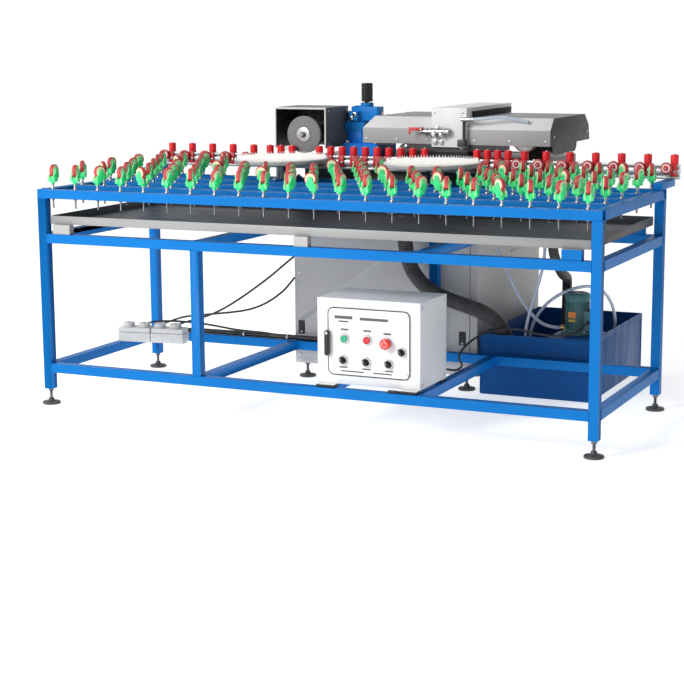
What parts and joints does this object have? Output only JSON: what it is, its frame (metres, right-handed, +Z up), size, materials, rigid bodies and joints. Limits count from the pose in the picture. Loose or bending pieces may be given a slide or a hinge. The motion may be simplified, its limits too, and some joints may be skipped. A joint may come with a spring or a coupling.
{
  "type": "glass edge grinding machine",
  "caption": "Table-style glass edge grinding machine: a caster-topped steel frame with a roller fence, brush tables, a wheel grinding head, a belt grinding head and a coolant tank.",
  "frame": {"origin": "centre of the machine's footprint, on the floor under its feet", "axes": "+X along the table towards the coolant tank's end, +Y from the operator's side towards the grinding heads, +Z up"},
  "size_m": [2.444, 1.7689, 1.306],
  "materials": {
    "blue_paint": "satin azure powder coat on welded square tube",
    "deep_blue_paint": "deep blue paint with chalky rims",
    "tray_steel": "grey painted sheet, water-marked inside",
    "cabinet_grey": "light grey textured powder coat",
    "cover_grey": "light grey powder coat, fine orange peel",
    "box_white": "white powder coat",
    "guard_black": "black hammered paint",
    "bed_dark": "dark grey paint",
    "head_blue": "azure enamel on rough casting",
    "column_blue": "darker blue enamel",
    "fence_aluminium": "anodised extrusion, slotted",
    "zinc_steel": "zinc plated steel, threaded",
    "wheel_steel": "turned steel",
    "valve_chrome": "chromed brass fittings",
    "abrasive": "resin bonded abrasive",
    "abrasive_belt": "cloth-backed abrasive belt",
    "fork_green": "bright green moulding",
    "caster_red": "dull red polyurethane",
    "roller_red": "red moulded roller",
    "bracket_red": "red enamel",
    "brush_white": "nylon bristles on a white-grey disc",
    "foot_black": "black nylon pad on a steel stud",
    "black_plastic": "black moulding",
    "green_button": "green push button cap",
    "red_button": "red push button cap",
    "red_lever": "red vinyl-dipped lever",
    "socket_white": "white moulded sockets and plugs",
    "pump_teal": "teal-grey enamel with an orange caution plate",
    "motor_grey": "finned grey casting",
    "hose_grey": "dark grey corrugated suction hose",
    "hose_black": "black rubber hose",
    "clear_tube": "translucent bluish PVC tube",
    "cable_black": "black PVC sheath"
  },
  "bodies": {
    "machine": {"table_frame": "blue_paint", "top_frame": "blue_paint", "levelling_feet": "foot_black", "drip_tray": "tray_steel", "caster_stems": "zinc_steel", "caster_forks": "fork_green", "caster_wheels": "caster_red", "rear_brackets": "blue_paint", "fence_rail": "fence_aluminium", "fence_brackets": "bracket_red", "fence_rollers": "roller_red", "fence_wheels": "roller_red", "cabinet_body": "cabinet_grey", "control_box": "box_white", "slide_column": "column_blue", "grinder_bed": "bed_dark", "abrasive_belt": "abrasive_belt", "belt_motor": "motor_grey", "left_belt_cover": "cover_grey", "right_belt_cover": "cover_grey", "centre_cover": "box_white", "water_valve": "valve_chrome", "water_tank": "deep_blue_paint", "pump": "pump_teal", "socket_boxes": "socket_white", "drain_hose_large": "hose_grey", "drain_hose_small": "hose_black", "water_tube_left": "clear_tube", "water_tube_right": "clear_tube", "return_tube": "clear_tube", "pump_cable": "cable_black", "plug_cable_1": "cable_black", "plug_cable_2": "cable_black", "plug_cable_3": "cable_black", "cable_bundle": "cable_black", "head_hose": "clear_tube"},
    "caster_fork": {"caster_fork_1": "fork_green"},
    "caster_wheel": {"caster_wheel_1": "caster_red"},
    "fence_roller": {"fence_roller_1": "roller_red"},
    "fence_wheel": {"fence_wheel_1": "roller_red"},
    "left_disc": {"brush_disc_left": "brush_white"},
    "right_disc": {"brush_disc_right": "brush_white"},
    "latches": {"cabinet_latches": "black_plastic"},
    "box_door": {"control_door": "box_white"},
    "handle": {"door_handle": "black_plastic"},
    "start_button": {"start_button": "green_button"},
    "stop_button": {"stop_button": "red_button"},
    "emergency_stop": {"emergency_stop": "red_button"},
    "selector_1": {"selector_switch_1": "black_plastic"},
    "selector_2": {"selector_switch_2": "black_plastic"},
    "selector_3": {"selector_switch_3": "black_plastic"},
    "selector_4": {"selector_switch_4": "black_plastic"},
    "grinding_head": {"wheel_guard": "guard_black", "spindle_motor": "motor_grey", "slide_head": "head_blue"},
    "grinding_wheel": {"grinding_wheel": "abrasive"},
    "adjusting_grip": {"adjusting_grip": "black_plastic"},
    "drive_drum": {"drive_drum": "wheel_steel"},
    "idler_drum": {"idler_drum": "wheel_steel"},
    "valve_lever": {"valve_lever": "red_lever"}
  },
  "joints": [
    {"name": "caster_swivel", "type": "hinge", "parent": "machine", "child": "caster_fork", "pos_m": [-0.8088, -0.8465, 0.94], "axis": [0, 0, 1], "continuous": true},
    {"name": "caster_roll", "type": "hinge", "parent": "caster_fork", "child": "caster_wheel", "pos_m": [-0.8088, -0.8345, 0.982], "axis": [1, 0, 0], "continuous": true},
    {"name": "fence_roller_spin", "type": "hinge", "parent": "machine", "child": "fence_roller", "pos_m": [-1.153, 0.1545, 1.015], "axis": [0, 0, 1], "continuous": true},
    {"name": "fence_wheel_spin", "type": "hinge", "parent": "machine", "child": "fence_wheel", "pos_m": [-1.18, 0.1265, 0.981], "axis": [0, 1, 0], "continuous": true},
    {"name": "left_disc_spin", "type": "hinge", "parent": "machine", "child": "left_disc", "pos_m": [-0.463, -0.0905, 0.985], "axis": [0, 0, 1], "continuous": true},
    {"name": "right_disc_spin", "type": "hinge", "parent": "machine", "child": "right_disc", "pos_m": [0.241, -0.0905, 0.985], "axis": [0, 0, 1], "continuous": true},
    {"name": "latch_swing", "type": "hinge", "parent": "machine", "child": "latches", "pos_m": [-0.061, 0.0535, 0.262], "axis": [-1, 0, 0], "range_deg": [0, 25]},
    {"name": "door_swing", "type": "hinge", "parent": "machine", "child": "box_door", "pos_m": [0.451, -0.8295, 0.357], "axis": [0, 0, 1], "range_deg": [0, 110]},
    {"name": "handle_turn", "type": "hinge", "parent": "box_door", "child": "handle", "pos_m": [0.107, -0.8455, 0.389], "axis": [0, 1, 0], "range_deg": [0, 90]},
    {"name": "start_press", "type": "slide", "parent": "box_door", "child": "start_button", "axis": [0, 1, 0], "range_m": [0, 0.004], "stiffness_N_per_m": 400},
    {"name": "stop_press", "type": "slide", "parent": "box_door", "child": "stop_button", "axis": [0, 1, 0], "range_m": [0, 0.004], "stiffness_N_per_m": 400},
    {"name": "emergency_press", "type": "slide", "parent": "box_door", "child": "emergency_stop", "axis": [0, 1, 0], "range_m": [0, 0.006]},
    {"name": "selector_1_turn", "type": "hinge", "parent": "box_door", "child": "selector_1", "pos_m": [0.171, -0.8455, 0.284], "axis": [0, 1, 0], "range_deg": [-45, 45]},
    {"name": "selector_2_turn", "type": "hinge", "parent": "box_door", "child": "selector_2", "pos_m": [0.268, -0.8455, 0.282], "axis": [0, 1, 0], "range_deg": [-45, 45]},
    {"name": "selector_3_turn", "type": "hinge", "parent": "box_door", "child": "selector_3", "pos_m": [0.362, -0.8455, 0.281], "axis": [0, 1, 0], "range_deg": [-45, 45]},
    {"name": "selector_4_turn", "type": "hinge", "parent": "box_door", "child": "selector_4", "pos_m": [0.417, -0.8455, 0.331], "axis": [0, 1, 0], "range_deg": [-45, 45]},
    {"name": "head_height", "type": "slide", "parent": "machine", "child": "grinding_head", "axis": [0, 0, 1], "range_m": [-0.01, 0.01]},
    {"name": "wheel_spin", "type": "hinge", "parent": "grinding_head", "child": "grinding_wheel", "pos_m": [-0.487, 0.1945, 1.083], "axis": [0, 1, 0], "continuous": true},
    {"name": "grip_turn", "type": "hinge", "parent": "grinding_head", "child": "adjusting_grip", "pos_m": [-0.285, 0.4245, 1.267], "axis": [0, 0, 1], "range_deg": [-901, 901]},
    {"name": "drive_spin", "type": "hinge", "parent": "machine", "child": "drive_drum", "pos_m": [0.537, 0.2295, 1.076], "axis": [0, 1, 0], "continuous": true},
    {"name": "idler_spin", "type": "hinge", "parent": "machine", "child": "idler_drum", "pos_m": [0.028, 0.2295, 1.076], "axis": [0, 1, 0], "continuous": true},
    {"name": "valve_turn", "type": "hinge", "parent": "machine", "child": "valve_lever", "pos_m": [0.092, 0.1505, 1.119], "axis": [0, 1, 0], "range_deg": [0, 90]}
  ],
  "couplings": [
    {"joint": "idler_spin", "follows": "drive_spin", "ratio": 1},
    {"joint": "grip_turn", "follows": "head_height", "rad_per_m": 1570.8}
  ]
}
